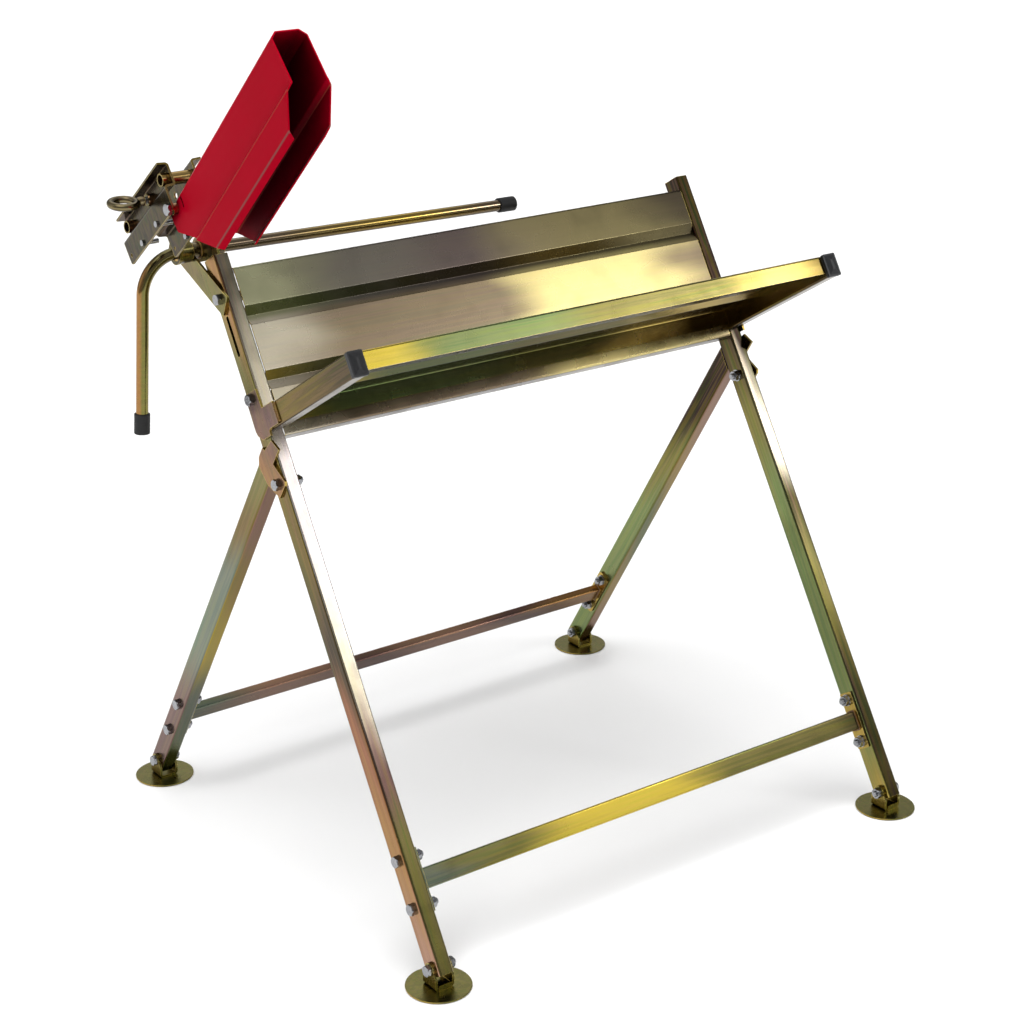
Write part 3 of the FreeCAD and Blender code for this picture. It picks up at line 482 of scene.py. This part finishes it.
def leg_details(side, sign):
    """One side's crossbar, arm lug and rear lug welds, and its bolts' threads."""
    plate_x = MIDDLE + sign * (HALF - CROSSBAR_END * MM)
    outer_x = MIDDLE + sign * (HALF + LUG_WELD_X * MM)
    nut_x = MIDDLE + sign * (HALF - NUT_FACE * MM)
    tip_x = MIDDLE + sign * (HALF - BOLT_TIP * MM)
    frames = (("front", FRONT, "main_frame"), ("rear", REAR, "rear_leg_frame"))
    for end, slant, body in frames:
        ring = [slant.at(plate_x, CROSSBAR_S + ds, dn) for ds, dn in CROSSBAR_RING]
        weld("weld_%s_crossbar_%s" % (end, side), ring, 1.7, body, True)
    arm_bead = [FRONT.at(outer_x, s, n) for s, n in ARM_LUG_WELD]
    weld("weld_arm_lug_%s" % side, arm_bead, 2.1, "front_arm_frame")
    rear_bead = [REAR.at(outer_x, s, n) for s, n in REAR_LUG_WELD]
    weld("weld_rear_lug_%s" % side, rear_bead, 1.9, "rear_leg_frame")
    for label, s in PIVOT_BOLTS:
        thread("thread_%s_%s" % (label, side), nut_x, tip_x, FRONT.at(0, s, 0), "main_frame")
    for end, slant, body in frames:
        for label, s in CROSSBAR_BOLTS:
            thread("thread_%s_%s_%s" % (end, label, side), nut_x - sign * CROSSBAR_NUT_FACE * MM,
                   tip_x - sign * CROSSBAR_BOLT_TIP * MM, slant.at(0, s, 0), body)


def stop_and_holder_details():
    """The welds of the stop's sleeve and the clamp tubes, and the eye bolt's thread."""
    for name, inwards in SLEEVE_WELDS:
        x = LEFT - inwards * MM
        drop = (STOP.x - x) * math.tan(STOP_DROOP)
        ring = circle(x, STOP.y, STOP.z + drop, SLEEVE_WELD_RADIUS)
        weld("weld_sleeve_%s" % name, ring, 1.3, "main_frame", True)
    thread("thread_eye_bolt", EYE.x - 0.5 * MM, EYE.x + 16.5 * MM, EYE, "clamp_screw", 3.85)
    for name, outwards, s, radius in HOLDER_WELDS:
        centre = HOLDER.at(LEFT - outwards * MM, s, 0)
        weld("weld_%s" % name, circle(*centre, radius), 1.2, "saw_holder", True)


leg_details("left", -1)
leg_details("right", 1)
stop_and_holder_details()


# ---------------------------------------------------------------- floor, lights and camera
FLOOR_HALF = 14.0
FLOOR_Z = -0.6 * MM                  # just under the feet
AMBIENT = 0.26
# Direction as azimuth and elevation, inner and outer half angle, all in degrees, and strength.
ROUND_LIGHTS = (
    (41, 29, 2, 8.5, 2.5),
    (34, 31, 2, 6, 1.6),
    (-60, 60, 8, 30, 1.2),
    (150, 45, 6, 28, 0.9),
    (0, 90, 5, 34, 0.8),
    (-120, 20, 5, 30, 0.5),
)
CAMERA_PLACE = (-1.6474, -2.2752, 1.4872)
CAMERA_TURN = Euler((math.radians(72.18), 0, math.radians(-36.64)))
CAMERA_LENS = 80.5
CAMERA_SHIFT_Y = -0.1147


def make_floor():
    mesh = bpy.data.meshes.new("floor")
    corners = [(x * FLOOR_HALF, y * FLOOR_HALF, FLOOR_Z) for x, y in ((-1, -1), (1, -1), (1, 1), (-1, 1))]
    mesh.from_pydata(corners, [], [(0, 1, 2, 3)])
    floor = bpy.data.objects.new("floor", mesh)
    bpy.context.scene.collection.objects.link(floor)
    shader = Shader("floor_paint")
    grain = shader.noise(shader.stretched(0, (1, 1, 1)), 3.0, 2.0)
    shader.set(Base_Color=shader.mix(grain, linear((240, 240, 240)), linear((246, 246, 246))), Roughness=0.75)
    floor.data.materials.append(shader.material)


def towards(azimuth, elevation):
    """A direction: azimuth from the front (-Y) to the right, both in degrees."""
    az, el = math.radians(azimuth), math.radians(elevation)
    return Vector((math.sin(az) * math.cos(el), -math.cos(az) * math.cos(el), math.sin(el)))


def make_world():
    """A dim studio with soft round lights."""
    world = bpy.data.worlds.new("studio")
    world.use_nodes = True
    nodes, links = world.node_tree.nodes, world.node_tree.links
    coords = nodes.new("ShaderNodeTexCoord")
    total = None
    for azimuth, elevation, inner, outer, strength in ROUND_LIGHTS:
        dot = nodes.new("ShaderNodeVectorMath")
        dot.operation = "DOT_PRODUCT"
        links.new(coords.outputs["Generated"], dot.inputs[0])
        dot.inputs[1].default_value = towards(azimuth, elevation)
        glow = nodes.new("ShaderNodeMapRange")
        glow.interpolation_type = "SMOOTHSTEP"
        glow.inputs["From Min"].default_value = math.cos(math.radians(outer))
        glow.inputs["From Max"].default_value = math.cos(math.radians(inner))
        glow.inputs["To Max"].default_value = strength
        links.new(dot.outputs["Value"], glow.inputs["Value"])
        add = nodes.new("ShaderNodeMath")
        add.inputs[1].default_value = AMBIENT
        links.new(glow.outputs["Result"], add.inputs[0])
        if total is not None:
            links.new(total, add.inputs[1])
        total = add.outputs[0]
    links.new(total, nodes["Background"].inputs["Strength"])
    nodes["Background"].inputs["Color"].default_value = (1, 1, 1, 1)
    bpy.context.scene.world = world


def make_lamp(name, light):
    lamp = bpy.data.objects.new(name, light)
    bpy.context.scene.collection.objects.link(lamp)
    return lamp


def floor_light():
    """Even light for the floor, which the metal doesn't mirror."""
    sun = bpy.data.lights.new("floor_light", "SUN")
    sun.energy = 2.4
    sun.angle = math.radians(60)
    lamp = make_lamp("floor_light", sun)
    lamp.rotation_euler = Euler((math.radians(14), math.radians(-10), 0))
    lamp.visible_glossy = False


def front_light():
    """A small soft light from the front right."""
    light = bpy.data.lights.new("front_right", "AREA")
    light.shape = "RECTANGLE"
    light.size = light.size_y = 0.6
    light.energy = 14
    place, target = Vector((2.6, -2.6, 2.4)), Vector((0, 0, 0.7))
    lamp = make_lamp("front_right", light)
    lamp.location = place
    lamp.rotation_euler = (target - place).to_track_quat("-Z", "Y").to_euler()


def make_camera():
    camera = bpy.data.cameras.new("camera")
    camera.lens = CAMERA_LENS
    camera.sensor_width = 36
    camera.shift_y = CAMERA_SHIFT_Y
    camera.dof.use_dof = False
    viewer = bpy.data.objects.new("camera", camera)
    viewer.location = CAMERA_PLACE
    viewer.rotation_euler = CAMERA_TURN
    bpy.context.scene.collection.objects.link(viewer)
    bpy.context.scene.camera = viewer


make_floor()
make_world()
floor_light()
front_light()
make_camera()
bpy.context.scene.view_settings.view_transform = "Standard"
